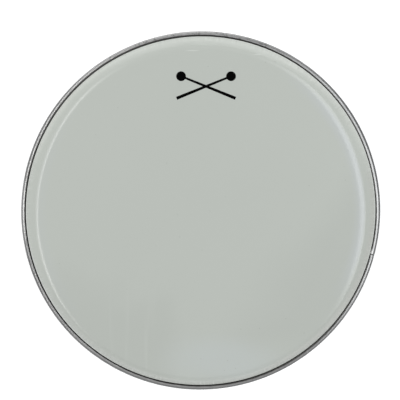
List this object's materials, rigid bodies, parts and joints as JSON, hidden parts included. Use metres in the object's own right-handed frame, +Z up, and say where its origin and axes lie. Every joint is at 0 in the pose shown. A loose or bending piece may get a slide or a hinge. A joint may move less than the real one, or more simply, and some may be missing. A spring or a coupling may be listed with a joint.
{
  "type": "timpani head",
  "caption": "Round replacement head for a kettledrum: hazy film with a flat playing area and a sloping collar, potted into a folded aluminium flesh hoop.",
  "frame": {"origin": "centre of the circle that the flesh hoop stands on, on the head's axis", "axes": "+Z up through the film, out of the drum; +Y towards the printed mark; +X to the right of someone who reads the mark"},
  "size_m": [0.711, 0.7111, 0.026],
  "materials": {
    "hoop_aluminium": "mill finish, fine lines along the hoop, slightly dull",
    "splice_aluminium": "mill finish",
    "ring_steel": "drawn wire",
    "resin": "dark amber-grey epoxy, poured, slightly wavy",
    "film": "hazy grey-white polyester, satin, slightly translucent",
    "ink": "screen-printed black"
  },
  "bodies": {
    "root": {"flesh_hoop": "hoop_aluminium", "hoop_splice": "splice_aluminium", "insert_ring": "ring_steel", "potting_resin": "resin", "head_film": "film", "printed_mark": "ink"}
  },
  "joints": []
}
